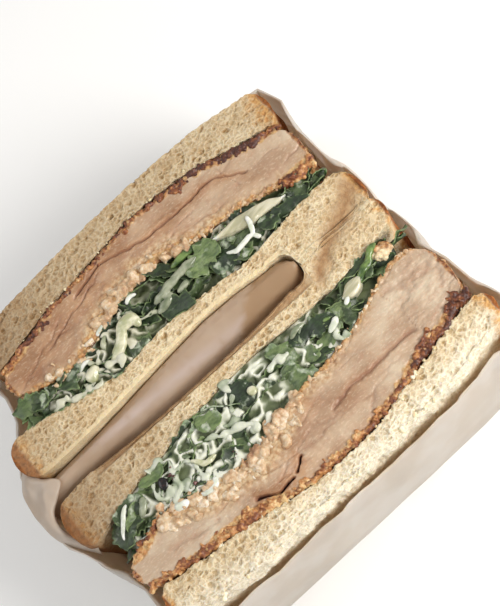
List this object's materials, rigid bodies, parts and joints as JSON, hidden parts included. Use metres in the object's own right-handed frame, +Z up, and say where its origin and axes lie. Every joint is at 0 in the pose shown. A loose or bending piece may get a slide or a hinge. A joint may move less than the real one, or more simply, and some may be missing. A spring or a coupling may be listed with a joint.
{
  "type": "chicken sandwich",
  "caption": "Fried chicken sandwich with dressed greens in white bread, cut almost through and folded open back to back, cut faces up, standing in its paper wrap.",
  "frame": {"origin": "centre of the bounding box's underside, on the surface that the wrap stands on", "axes": "+Z up, out of the cut faces; +X along the cut, towards the end where the inner slice wasn't cut; +Y towards half A"},
  "size_m": [0.1438, 0.1208, 0.0576],
  "materials": {
    "bread": "dry, open crumb",
    "chicken": "moist cooked meat",
    "greens": "wet leaves with creamy dressing",
    "onion": "wet, translucent",
    "coating": "fried, rough",
    "paper": "greaseproof, satin"
  },
  "bodies": {
    "root": {"outer_bread_a": "bread", "chicken_a": "chicken", "onion_a": "onion", "greens_a": "greens", "inner_bread": "bread", "greens_b": "greens", "onion_b": "onion", "coating_bit_b": "coating", "chicken_b": "chicken", "outer_bread_b": "bread", "paper_wrap": "paper"}
  },
  "joints": []
}
